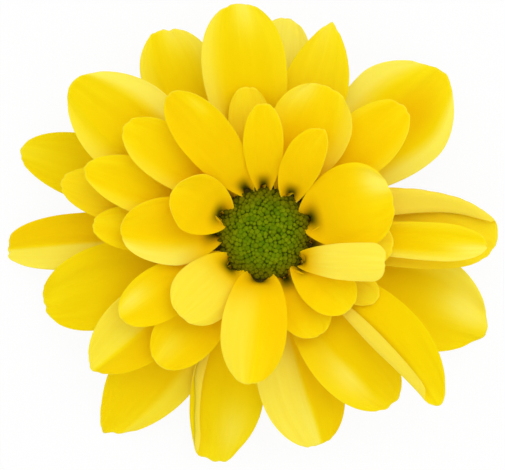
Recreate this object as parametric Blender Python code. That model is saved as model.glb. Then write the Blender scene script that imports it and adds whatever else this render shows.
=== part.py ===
"""A yellow daisy chrysanthemum head, cut close under the bloom and resting face up.

Metres, +Z up, with the origin on the surface that the flower rests on, at the middle of its plan.
A short peduncle flares into the receptacle, thirteen bracts hug the receptacle from below, the disc
florets form one low dome on top, and forty ray petals leave the receptacle's shoulder in rising
levels: the lowest droop until their tips touch the surface, the highest stand up and arch over.
"""

from collections import namedtuple
import math

import bmesh
import bpy
from mathutils import Matrix, Vector
import numpy as np

MM = 0.001
GAP = 0.3 * MM  # between neighbouring solids

# The flower's axis, off the middle of the plan because the petals are uneven.
AXIS = Vector((1.82 * MM, 0.25 * MM, 0.0))

STEM_RADIUS = 1.9 * MM
CUP_BOTTOM = 1.9 * MM  # where the stem starts to flare
CUP_TOP = 5.0 * MM
CUP_RADIUS = 7.0 * MM
SHOULDER_TOP = 8.0 * MM  # the petals are rooted between CUP_TOP and here
SHOULDER_RADIUS = 6.7 * MM
TURN_STEPS = 40

DISC_RADIUS = 6.8 * MM
DISC_HEIGHT = 2.6 * MM
DISC_RIM = 0.9 * MM  # height of the disc's upright edge

BRACT_COUNT = 13
BRACT_THICKNESS = 0.5 * MM
BRACT_SPREAD = 0.9  # share of its sector that a bract fills at its widest
BRACT_STAND = 0.35 * MM  # between its faces and the rounder receptacle
BRACT_FLARE = 1.2 * MM  # how far its tip stands out

PETAL_THICKNESS = 0.4 * MM
PETAL_ROOT_WIDTH = 1.9 * MM
PETAL_ROWS = 9  # faces along a petal
PETAL_COLUMNS = 4  # faces across it
ROOT_CUP = math.radians(75)  # how far a petal's claw is rolled up at its root
BLADE_RISE = 1.1  # how slowly the blade widens from the claw
END_SHARE = 0.55  # the last row's share of the half width; the end's outline closes past it
BOW_POWER = 5  # how late the rows take up the end's round outline
FOLD_START = 0.45  # where a folded margin starts, as a share of the half width
SECTION_STEPS = 16

# Level by level: radius and height of the root, slope at the root and at the tip, and how early
# the petal arches over. Petals take values between two levels.
LEVELS = (0.0, 1.0, 2.0, 3.0, 4.0)
ROOT_RADIUS = (7.5, 7.4, 7.3, 7.25, 7.25)  # mm
ROOT_HEIGHT = (5.4, 6.0, 6.8, 7.6, 8.2)  # mm
ROOT_SLOPE = (4, 20, 38, 60, 78)  # degrees above level
TIP_SLOPE = (-23, -12, -2, 4, 4)
ARCH = (1.2, 1.3, 1.6, 1.9, 2.0)

# A petal: the direction and distance of its tip from the axis, its width, its level, and how it
# differs from a plain one. Angles are in degrees anticlockwise from +X, lengths in mm.
# rise: added to its slope at the tip; root: how far its root is turned from its tip's direction;
# bend: how much its heading turns on the way; roll: how far it is turned about its own length at
# the tip; cup: the slope of its margins, positive for a channel; left and right: how far each
# margin is folded in beyond that, seen from the root; tip: 0 for a pointed tip, 1 for a blunt
# one; widest: where the blade is.
Petal = namedtuple(
    "Petal",
    "direction reach width level rise root bend roll cup left right tip widest",
    defaults=(0, 0, 0, 0, 20, 0, 0, 0.6, 0.62),
)

OUTER = (
    Petal(96.8, 32.9, 12.0, 1.3, cup=14, tip=0.9, widest=0.66),
    Petal(84.3, 31.5, 9.0, 0.0, rise=-1, tip=0.8, widest=0.66),
    Petal(72.2, 31.9, 9.0, 0.9, bend=10, root=-2, tip=0.0, widest=0.6),
    Petal(42.2, 34.6, 15.4, 0.3, bend=6, tip=0.5),
    Petal(-3.8, 33.4, 11.4, 0.8, root=22, bend=-26, tip=0.9, widest=0.5),
    Petal(-3.0, 31.4, 5.4, 1.8, bend=-4, tip=0.9, widest=0.72),
    Petal(-23.6, 35.4, 14.2, 0.1, rise=-1, bend=-6, tip=0.2, widest=0.62),
    Petal(-44.4, 34.7, 7.8, 1.82, bend=-34, right=100, tip=0.2, widest=0.6),
    Petal(-52.6, 30.5, 11.8, 1.28, bend=16, root=-5, tip=0.7),
    Petal(-74.9, 31.3, 12.4, 0.65, bend=10, tip=0.7),
    Petal(-101.4, 33.8, 11.7, 0.45, rise=-3.7, root=-7, bend=11, right=50, tip=0.6),
    Petal(-128.4, 37.0, 12.0, 0.0, rise=1.3, tip=0.15, widest=0.58),
    Petal(-141.8, 31.2, 10.0, 1.2, bend=10, tip=0.4),
    Petal(-161.8, 33.2, 12.2, 0.4, tip=0.8),
    Petal(-177.0, 37.2, 8.4, 0.0, rise=1.7, bend=8, left=20, tip=0.6, widest=0.7),
    Petal(161.3, 37.3, 10.2, 0.1, rise=-0.5, root=-6, bend=8, tip=0.4),
    Petal(165.7, 29.8, 7.6, 1.05, rise=2, root=-1, tip=0.7),
    Petal(141.8, 34.9, 13.8, 1.3, tip=0.4),
    Petal(116.4, 33.1, 11.1, 0.4, bend=-14, tip=0.7, widest=0.7),
)

MIDDLE = (
    Petal(124.5, 23.6, 7.8, 3.1, root=-9, bend=8, tip=0.7),
    Petal(142.5, 24.8, 8.2, 2.6, root=-8, bend=8, tip=0.7),
    Petal(160.0, 27.0, 7.8, 2.05, bend=10, tip=0.5),
    Petal(177.0, 24.3, 6.6, 1.62, rise=5, root=3, tip=0.8),
    Petal(-149.5, 23.4, 7.8, 2.35, bend=6, tip=0.8),
    Petal(-129.0, 23.8, 9.2, 1.9, bend=-6, tip=0.8),
    Petal(-30.0, 18.4, 5.4, 2.5, rise=11, root=3, tip=1.0),
    Petal(42.3, 26.8, 9.0, 1.75, tip=0.8),
    Petal(66.5, 22.6, 11.8, 2.25, tip=0.9),
    Petal(97.0, 21.0, 6.2, 2.1, tip=0.9),
)

INNER = (
    Petal(90.5, 18.2, 5.8, 3.3, rise=14, tip=0.9),
    Petal(155.5, 14.2, 8.8, 4.0, rise=24, tip=1.0),
    Petal(178.2, 20.2, 9.8, 2.8, tip=0.8, widest=0.5),
    Petal(-136.0, 16.4, 9.0, 3.4, rise=6, tip=1.0),
    Petal(-95.8, 20.9, 9.8, 3.7, rise=1.5, tip=0.8),
    Petal(-61.0, 16.3, 7.4, 2.82, rise=2, root=-6, tip=0.7),
    Petal(-40.2, 16.0, 7.4, 3.53, rise=7, tip=0.9),
    Petal(-13.4, 17.0, 5.0, 4.0, rise=10, root=-3, tip=0.8),
    Petal(-2.6, 18.2, 6.4, 2.9, root=4, tip=0.8),
    Petal(17.0, 18.7, 11.4, 3.4, rise=4, root=4, tip=0.9),
    Petal(60.0, 16.8, 5.8, 3.7, rise=14, root=-2, bend=-28, tip=0.4),
)


def clear_scene():
    for thing in list(bpy.data.objects):
        bpy.data.objects.remove(thing)


def material(name, colour, roughness):
    made = bpy.data.materials.new(name)
    made.use_nodes = True
    shader = made.node_tree.nodes["Principled BSDF"]
    shader.inputs["Base Color"].default_value = (*colour, 1.0)
    shader.inputs["Roughness"].default_value = roughness
    shader.inputs["Metallic"].default_value = 0.0
    return made


def add_object(name, mesh, finish):
    mesh.materials.append(finish)
    mesh.shade_smooth()
    made = bpy.data.objects.new(name, mesh)
    bpy.context.scene.collection.objects.link(made)
    return made


def turned(name, profile, finish):
    """A solid of revolution about the flower's axis; the profile runs from the axis to the axis."""
    shape = bmesh.new()
    points = [shape.verts.new((radius, 0.0, height)) for radius, height in profile]
    edges = [shape.edges.new(pair) for pair in zip(points, points[1:])]
    bmesh.ops.spin(
        shape,
        geom=points + edges,
        cent=(0, 0, 0),
        axis=(0, 0, 1),
        angle=math.tau,
        steps=TURN_STEPS,
        use_merge=True,
    )
    bmesh.ops.remove_doubles(shape, verts=shape.verts, dist=1e-6)
    bmesh.ops.recalc_face_normals(shape, faces=shape.faces)
    mesh = bpy.data.meshes.new(name)
    shape.to_mesh(mesh)
    shape.free()
    made = add_object(name, mesh, finish)
    made.location = AXIS
    return made


def cup_radius(height):
    """Radius of the receptacle's underside, which bulges out from the stem to the shoulder."""
    rise = (height - CUP_BOTTOM) / (CUP_TOP - CUP_BOTTOM)
    return STEM_RADIUS + (CUP_RADIUS - STEM_RADIUS) * math.sqrt(1 - (1 - rise) ** 2)


def peduncle(finish):
    rises = [0.0, 0.08, 0.25, 0.5, 0.75, 1.0]
    heights = [CUP_BOTTOM + rise * (CUP_TOP - CUP_BOTTOM) for rise in rises]
    profile = [(0.0, 0.0), (STEM_RADIUS, 0.0)]
    profile += [(cup_radius(height), height) for height in heights]
    profile += [(SHOULDER_RADIUS, SHOULDER_TOP), (0.0, SHOULDER_TOP)]
    return turned("peduncle", profile, finish)


def disc(finish):
    bottom = SHOULDER_TOP + GAP
    shoulder = bottom + DISC_RIM
    dome = [math.radians(angle) for angle in (0, 22, 45, 68, 90)]
    profile = [(0.0, bottom), (DISC_RADIUS * 0.88, bottom)]
    profile += [
        (DISC_RADIUS * math.cos(a), shoulder + (DISC_HEIGHT - DISC_RIM) * math.sin(a))
        for a in dome
    ]
    profile[-1] = (0.0, bottom + DISC_HEIGHT)
    return turned("disc_florets", profile, finish)


def bract(name, direction, finish):
    """One pointed green scale, lying against the receptacle from the stem to the petals' roots."""
    rises = (0.06, 0.3, 0.6, 0.85, 1.0)
    widths = (0.62, 0.9, 1.0, 0.8, 0.3)  # shares of the sector at each height
    sector = math.radians(360 / BRACT_COUNT) * BRACT_SPREAD
    shape = bmesh.new()
    grid = []
    for rise, share in zip(rises, widths):
        height = CUP_BOTTOM + rise * (CUP_TOP - CUP_BOTTOM)
        radius = cup_radius(height) + GAP + BRACT_THICKNESS / 2 + BRACT_STAND + BRACT_FLARE * rise**4
        turn = [direction + sector * share * across / 2 for across in (-1, 0, 1)]
        grid.append([shape.verts.new((radius * math.cos(a), radius * math.sin(a), height)) for a in turn])
    fill_grid(shape, grid)
    mesh = bpy.data.meshes.new(name)
    shape.to_mesh(mesh)
    shape.free()
    made = add_object(name, mesh, finish)
    made.location = AXIS
    add_thickness(made, BRACT_THICKNESS)
    return made


def fill_grid(shape, grid):
    for low, high in zip(grid, grid[1:]):
        for column in range(len(low) - 1):
            shape.faces.new((low[column], high[column], high[column + 1], low[column + 1]))


def add_thickness(thing, thickness):
    solidify = thing.modifiers.new("thickness", "SOLIDIFY")
    solidify.thickness = thickness
    solidify.offset = 0.0
    solidify.use_even_offset = True


def at_level(level, values):
    return float(np.interp(level, LEVELS, values))


def outline(petal, along):
    """The petal's half width at a share of its length: a claw, a blade, and a rounded end."""
    root = PETAL_ROOT_WIDTH / (petal.width * MM)
    if along <= petal.widest:
        share = root + (1 - root) * math.sin(along / petal.widest * math.pi / 2) ** BLADE_RISE
    else:
        past = (along - petal.widest) / (1 - petal.widest)
        fall, bulge = end_powers(petal)
        share = (1 - past**fall) ** (1 / bulge)
    return share * petal.width * MM / 2


def end_powers(petal):
    """The two powers of the end's outline: an ellipse's are 2 and 2, a point needs less."""
    return 1.7 + 0.5 * petal.tip, 1.15 + 0.95 * petal.tip


def end_place(petal, share):
    """Where along the petal its end has narrowed to this share of the full half width."""
    fall, bulge = end_powers(petal)
    return petal.widest + (1 - petal.widest) * (1 - share**bulge) ** (1 / fall)


def spine(petal, steps=40):
    """Points, slopes and headings along the petal's middle line, from root to tip."""
    shares = np.linspace(0, 1, steps + 1)
    root_slope = math.radians(at_level(petal.level, ROOT_SLOPE))
    tip_slope = math.radians(at_level(petal.level, TIP_SLOPE) + petal.rise)
    slopes = tip_slope + (root_slope - tip_slope) * (1 - shares) ** at_level(petal.level, ARCH)
    root_turn = math.radians(petal.direction + petal.root)
    radius = at_level(petal.level, ROOT_RADIUS) * MM
    start = radius * np.array([math.cos(root_turn), math.sin(root_turn)])
    tip_turn = math.radians(petal.direction)
    tip = petal.reach * MM * np.array([math.cos(tip_turn), math.sin(tip_turn)])
    bend = math.radians(petal.bend)
    headings = bend * (shares - 0.5)
    middle = (shares[1:] + shares[:-1]) / 2
    flat = np.cos(np.interp(middle, shares, slopes))
    rise = np.sin(np.interp(middle, shares, slopes))
    turn = np.interp(middle, shares, headings)
    steps_flat = np.stack([flat * np.cos(turn), flat * np.sin(turn)]) / steps
    run = steps_flat.sum(axis=1)
    chord = tip - start
    length = np.linalg.norm(chord) / np.linalg.norm(run)
    course = math.atan2(chord[1], chord[0]) - math.atan2(run[1], run[0])
    turn = turn + course
    walk = np.stack([flat * np.cos(turn), flat * np.sin(turn), rise]) * length / steps
    origin = np.array([*start, at_level(petal.level, ROOT_HEIGHT) * MM])
    points = origin + np.concatenate([np.zeros((1, 3)), np.cumsum(walk.T, axis=0)])
    return shares, points, slopes, headings + course


def cross_section(petal, along, across):
    """Sideways and upward distance from the middle line, as shares of the half width."""
    cup = math.radians(petal.cup) * along + ROOT_CUP * (1 - along) ** 3
    fold = math.radians(petal.left if across > 0 else petal.right) * math.sin(along * math.pi / 2)
    out, lift = 0.0, 0.0
    for step in range(SECTION_STEPS):
        place = abs(across) * (step + 0.5) / SECTION_STEPS
        turn = cup * place + fold * max(0.0, (place - FOLD_START) / (1 - FOLD_START))
        out += math.cos(turn) / SECTION_STEPS
        lift += math.sin(turn) / SECTION_STEPS
    return across * out, abs(across) * lift


def petal_point(petal, line, place, across):
    """The point of the petal's middle surface at a row's place and a share of its half width."""
    shares, points, slopes, headings = line
    last = end_place(petal, END_SHARE)
    bow = (end_place(petal, END_SHARE * abs(across)) - last) * place**BOW_POWER
    along = min(1.0, last * place + bow)
    at = Vector([np.interp(along, shares, points[:, k]) for k in range(3)])
    slope = np.interp(along, shares, slopes)
    heading = np.interp(along, shares, headings)
    ahead = Vector((math.cos(slope) * math.cos(heading), math.cos(slope) * math.sin(heading), math.sin(slope)))
    side = Vector((-math.sin(heading), math.cos(heading), 0))
    up = ahead.cross(side)
    out, lift = cross_section(petal, along, across)
    half = outline(petal, last * place)
    roll = Matrix.Rotation(math.radians(petal.roll) * along, 3, ahead)
    return at + roll @ (side * out * half + up * lift * half)


def ray_petal(name, petal, finish):
    line = spine(petal)
    shape = bmesh.new()
    grid = []
    for row in range(PETAL_ROWS + 1):
        place = row / PETAL_ROWS
        acrosses = [2 * column / PETAL_COLUMNS - 1 for column in range(PETAL_COLUMNS + 1)]
        grid.append([shape.verts.new(petal_point(petal, line, place, across)) for across in acrosses])
    fill_grid(shape, grid)
    mesh = bpy.data.meshes.new(name)
    shape.to_mesh(mesh)
    shape.free()
    made = add_object(name, mesh, finish)
    made.location = AXIS
    add_thickness(made, PETAL_THICKNESS)
    return made


def main():
    clear_scene()
    green = material("stem_green", (0.16, 0.26, 0.06), 0.6)
    olive = material("disc_green", (0.12, 0.17, 0.01), 0.7)
    yellow = material("petal_yellow", (0.93, 0.66, 0.005), 0.5)
    peduncle(green)
    disc(olive)
    for number in range(BRACT_COUNT):
        bract(f"bract_{number + 1:02d}", number * math.tau / BRACT_COUNT, green)
    for row, petals in (("outer", OUTER), ("middle", MIDDLE), ("inner", INNER)):
        for number, petal in enumerate(petals, start=1):
            ray_petal(f"{row}_petal_{number:02d}", petal, yellow)


main()
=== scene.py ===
import math
import random
import re

import bpy
import numpy as np
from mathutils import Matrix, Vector


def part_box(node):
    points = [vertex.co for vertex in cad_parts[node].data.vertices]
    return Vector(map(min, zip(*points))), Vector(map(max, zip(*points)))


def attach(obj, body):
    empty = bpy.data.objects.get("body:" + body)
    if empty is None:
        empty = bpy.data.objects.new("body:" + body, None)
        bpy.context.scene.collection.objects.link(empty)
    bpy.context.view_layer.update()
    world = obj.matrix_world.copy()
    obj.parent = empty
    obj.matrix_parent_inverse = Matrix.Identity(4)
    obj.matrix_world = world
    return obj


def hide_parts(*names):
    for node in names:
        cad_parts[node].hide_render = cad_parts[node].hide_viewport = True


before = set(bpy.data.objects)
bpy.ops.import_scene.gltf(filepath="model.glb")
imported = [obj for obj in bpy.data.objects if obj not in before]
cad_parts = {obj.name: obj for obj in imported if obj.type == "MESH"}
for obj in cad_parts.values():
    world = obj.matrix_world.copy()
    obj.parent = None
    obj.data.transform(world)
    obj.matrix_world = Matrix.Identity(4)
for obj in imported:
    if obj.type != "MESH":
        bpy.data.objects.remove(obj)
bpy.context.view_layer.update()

mm = 0.001
scene = bpy.context.scene
sharpAngle = math.radians(55)
mergeDistance = 2e-7
eulerNumber = 2.718
white = (1.0, 1.0, 1.0, 1.0)
nodeLayout = {"perRow": 14, "across": 190, "down": -230}  # in the node editor

discLow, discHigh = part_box("disc_florets")
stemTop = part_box("peduncle")[1].z
headAxis = Vector(((discLow.x + discHigh.x) / 2, (discLow.y + discHigh.y) / 2, 0.0))


# Node helpers: trees are written as ordinary sums of Number and Arrow.

def newTree(name, kind, inputs, outputs):
    tree = bpy.data.node_groups.new(name, kind)
    for direction, sockets in (("INPUT", inputs), ("OUTPUT", outputs)):
        for socketKind, labels in sockets.items():
            for label in labels.split(", "):
                tree.interface.new_socket(label, in_out=direction, socket_type="NodeSocket" + socketKind)
    return tree


def addNode(tree, kind, inputs=None, **settings):
    node = tree.nodes.new(kind)
    row, column = divmod(len(tree.nodes), nodeLayout["perRow"])
    node.location = (nodeLayout["across"] * column, nodeLayout["down"] * row)
    for key, value in settings.items():
        setattr(node, key, value)
    for key, value in (inputs or {}).items():
        feed(tree, value, openSocket(node.inputs, key))
    return node


def openSocket(sockets, key):
    if isinstance(key, int):
        return [socket for socket in sockets if socket.enabled][key]
    return next(socket for socket in sockets if socket.name == key and socket.enabled)


def feed(tree, value, socket):
    value = getattr(value, "socket", value)
    if isinstance(value, bpy.types.NodeSocket):
        tree.links.new(value, socket)
    else:
        socket.default_value = value


class Number:
    def __init__(self, tree, socket):
        self.tree, self.socket = tree, socket

    def maths(self, operation, *values):
        node = addNode(self.tree, "ShaderNodeMath", operation=operation)
        for socket, value in zip(node.inputs, (self, *values)):
            feed(self.tree, value, socket)
        return Number(self.tree, node.outputs[0])

    def __add__(self, other):
        return self.maths("ADD", other)

    def __sub__(self, other):
        return self.maths("SUBTRACT", other)

    def __rsub__(self, other):
        return self.maths("MULTIPLY_ADD", -1.0, other)

    def __mul__(self, other):
        return other * self if isinstance(other, Arrow) else self.maths("MULTIPLY", other)

    def __truediv__(self, other):
        return self.maths("DIVIDE", other)

    def __rtruediv__(self, other):
        return self.maths("POWER", -1.0) * other

    def __pow__(self, other):
        return self.maths("POWER", other)

    __radd__ = __add__
    __rmul__ = __mul__

    def sin(self):
        return self.maths("SINE")

    def cos(self):
        return self.maths("COSINE")

    def size(self):
        return self.maths("ABSOLUTE")

    def sign(self):
        return self.maths("SIGN")

    def atMost(self, other):
        return self.maths("MINIMUM", other)

    def atLeast(self, other):
        return self.maths("MAXIMUM", other)

    def above(self, other):
        return self.maths("GREATER_THAN", other)

    def smooth(self, start, end):
        values = {"Value": self, "From Min": start, "From Max": end}
        node = addNode(self.tree, "ShaderNodeMapRange", values, interpolation_type="SMOOTHSTEP")
        return Number(self.tree, node.outputs[0])

    def hill(self, centre, spread):
        return eulerNumber ** ((((self - centre) / spread) ** 2.0) * -1.0)

    def __rpow__(self, other):
        node = addNode(self.tree, "ShaderNodeMath", {0: other, 1: self}, operation="POWER")
        return Number(self.tree, node.outputs[0])


class Arrow:
    def __init__(self, tree, socket):
        self.tree, self.socket = tree, socket

    def maths(self, operation, *values):
        node = addNode(self.tree, "ShaderNodeVectorMath", operation=operation)
        for socket, value in zip(node.inputs, (self, *values)):
            feed(self.tree, value, socket)
        return Arrow(self.tree, node.outputs[0])

    def __add__(self, other):
        return self.maths("ADD", other)

    def __sub__(self, other):
        return self.maths("SUBTRACT", other)

    def __mul__(self, other):
        if isinstance(other, Arrow):
            return self.maths("MULTIPLY", other)
        values = {"Vector": self, "Scale": other}
        node = addNode(self.tree, "ShaderNodeVectorMath", values, operation="SCALE")
        return Arrow(self.tree, node.outputs[0])

    def cross(self, other):
        return self.maths("CROSS_PRODUCT", other)

    def unit(self):
        return self.maths("NORMALIZE")

    def parts(self):
        node = addNode(self.tree, "ShaderNodeSeparateXYZ", {"Vector": self})
        return [Number(self.tree, socket) for socket in node.outputs]


def arrow(tree, x=0.0, y=0.0, z=0.0):
    node = addNode(tree, "ShaderNodeCombineXYZ", {"X": x, "Y": y, "Z": z})
    return Arrow(tree, node.outputs[0])


def noise(tree, vector, scale=1.0, detail=2.0, roughness=0.5):
    values = {"Vector": vector, "Scale": scale, "Detail": detail, "Roughness": roughness}
    return Number(tree, addNode(tree, "ShaderNodeTexNoise", values).outputs[0])


def randomNumber(tree, low, high, index, seed):
    values = {"Min": low, "Max": high, "ID": index, "Seed": seed}
    node = addNode(tree, "FunctionNodeRandomValue", values, data_type="FLOAT")
    return Number(tree, openSocket(node.outputs, "Value"))


def store(tree, geometry, name, value):
    values = {"Geometry": geometry, "Name": name, "Value": value}
    node = addNode(tree, "GeometryNodeStoreNamedAttribute", values, data_type="FLOAT", domain="POINT")
    return node.outputs[0]


def newSheet(tree, columns, rows):
    values = {"Size X": 1.0, "Size Y": 1.0, "Vertices X": columns + 1, "Vertices Y": rows + 1}
    return addNode(tree, "GeometryNodeMeshGrid", values)


def closeSheet(tree, sheet, marks, spot):  # marks are the attributes that the material reads
    geometry = sheet.outputs["Mesh"]
    for name, field in marks.items():
        geometry = store(tree, geometry, name, field)
    placed = addNode(tree, "GeometryNodeSetPosition", {"Geometry": geometry, "Position": spot})
    values = {"Geometry": placed.outputs[0], "Distance": mergeDistance}
    return addNode(tree, "GeometryNodeMergeByDistance", values).outputs[0]


def shellHeight(face, place, thickness, atTip, atRoot, roundness):  # a higher power closes later
    closed = ((1.0 - place**atTip) * (1.0 - (1.0 - place) ** atRoot)).atLeast(0.0) ** 0.5
    return face.sign() * face.size() ** roundness * closed * thickness * 0.5


def groupInputs(tree):
    given = addNode(tree, "NodeGroupInput")
    return {socket.name: Number(tree, socket) for socket in given.outputs if socket.name}


def finishTree(tree, geometry, finish, centre=None):
    if centre:
        values = {"Geometry": geometry, "Translation": centre}
        geometry = addNode(tree, "GeometryNodeTransform", values).outputs[0]
    solid = addNode(tree, "GeometryNodeRealizeInstances", {"Geometry": geometry})
    smooth = addNode(tree, "GeometryNodeSetShadeSmooth", {0: solid.outputs[0]})
    painted = addNode(tree, "GeometryNodeSetMaterial", {"Geometry": smooth.outputs[0], "Material": finish})
    addNode(tree, "NodeGroupOutput", {0: painted.outputs[0]})


def labelled(values):  # "rootWidth" becomes the input's name, "Root Width"
    return {re.sub("([A-Z])", r" \1", key).title(): value for key, value in values.items()}


def addThing(name, data):
    thing = bpy.data.objects.new(name, data)
    scene.collection.objects.link(thing)
    return thing


def grow(name, tree, values, start=None):  # values that the tree has no input for are passed over
    seed = addThing("seed", start or bpy.data.meshes.new("seed"))
    modifier = seed.modifiers.new(tree.name, "NODES")
    modifier.node_group = tree
    for item in tree.interface.items_tree:
        if item.item_type == "SOCKET" and item.in_out == "INPUT" and item.name in values:
            modifier[item.identifier] = values[item.name]
    grown = seed.evaluated_get(bpy.context.evaluated_depsgraph_get())
    mesh = bpy.data.meshes.new_from_object(grown)
    mesh.name = name
    mesh.set_sharp_from_angle(angle=sharpAngle)
    bpy.data.objects.remove(seed)
    return addThing(name, mesh)


def keep(thing, nodes):
    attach(thing, "root")
    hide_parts(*nodes)


# Shader helpers

def newMaterial(name, values):
    made = bpy.data.materials.new(name)
    made.use_nodes = True
    shader = made.node_tree.nodes["Principled BSDF"]
    for key, value in values.items():
        shader.inputs[key].default_value = value
    return made, made.node_tree, shader


def attribute(tree, name):
    return Number(tree, addNode(tree, "ShaderNodeAttribute", attribute_name=name).outputs["Fac"])


def objectPlace(tree):
    return Arrow(tree, addNode(tree, "ShaderNodeTexCoord").outputs["Object"])


def blend(tree, factor, first, second):
    node = addNode(tree, "ShaderNodeMix", data_type="RGBA", clamp_factor=True)
    for key, value in (("Factor", factor), ("A", first), ("B", second)):
        value = (*value, 1.0) if isinstance(value, tuple) else value
        feed(tree, value, openSocket(node.inputs, key))
    return openSocket(node.outputs, "Result")


def ramp(tree, factor, stops):
    node = addNode(tree, "ShaderNodeValToRGB", {"Fac": factor})
    elements = node.color_ramp.elements
    while len(elements) < len(stops):
        elements.new(0.5)
    for element, (place, colour) in zip(elements, stops):
        element.position, element.color = place, (*colour, 1.0)
    return node.outputs["Color"]


def bump(tree, height, distance, strength):
    values = {"Height": height, "Distance": distance, "Strength": strength}
    return addNode(tree, "ShaderNodeBump", values).outputs[0]


def useGroup(tree, group, **values):
    node = addNode(tree, "ShaderNodeGroup", node_tree=group)
    for key, value in values.items():
        feed(tree, value, node.inputs[key])
    return {socket.name: Number(tree, socket) for socket in node.outputs}


veinPattern = {
    "broad": (1.0, 1.6, 37.0),  # how fast it changes across, along and from piece to piece
    "fine": (4.0, 3.0, 11.0),
    "streak": (0.35, 0.72),  # the noise's values where a streak starts and is full
}


def makeVeinGroup():  # fine lines along a petal or a scale
    inputs = {"Float": "Across, Along, Tone, Fineness"}
    tree = newTree("lengthwiseVeins", "ShaderNodeTree", inputs, {"Float": "Streak, Height"})
    given = groupInputs(tree)
    sideways = given["Across"] * given["Fineness"]
    broad, fine = (
        arrow(tree, sideways * across, given["Along"] * along, given["Tone"] * tone)
        for across, along, tone in (veinPattern["broad"], veinPattern["fine"])
    )
    streak = noise(tree, broad, detail=3.0, roughness=0.55)
    height = streak * 0.5 + noise(tree, fine) * 0.5
    addNode(tree, "NodeGroupOutput", {"Streak": streak.smooth(*veinPattern["streak"]), "Height": height})
    return tree


def makeMottleGroup():  # soft uneven patches
    inputs = {"Vector": "Vector", "Float": "Scale"}
    tree = newTree("softMottle", "ShaderNodeTree", inputs, {"Float": "Patch"})
    given = addNode(tree, "NodeGroupInput")
    patch = noise(tree, given.outputs["Vector"], given.outputs["Scale"], detail=3.0, roughness=0.6)
    addNode(tree, "NodeGroupOutput", {"Patch": patch.smooth(0.3, 0.7)})
    return tree


lengthwiseVeins = makeVeinGroup()
softMottle = makeMottleGroup()
print("stage: helpers and shared shader groups")


# Ray florets: forty yellow petals, each grown along its own midrib.

def petal(direction, reach, width, level, **rest):  # direction in degrees, reach and width in mm
    return dict(direction=direction, reach=reach, width=width, level=level, **rest)


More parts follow.
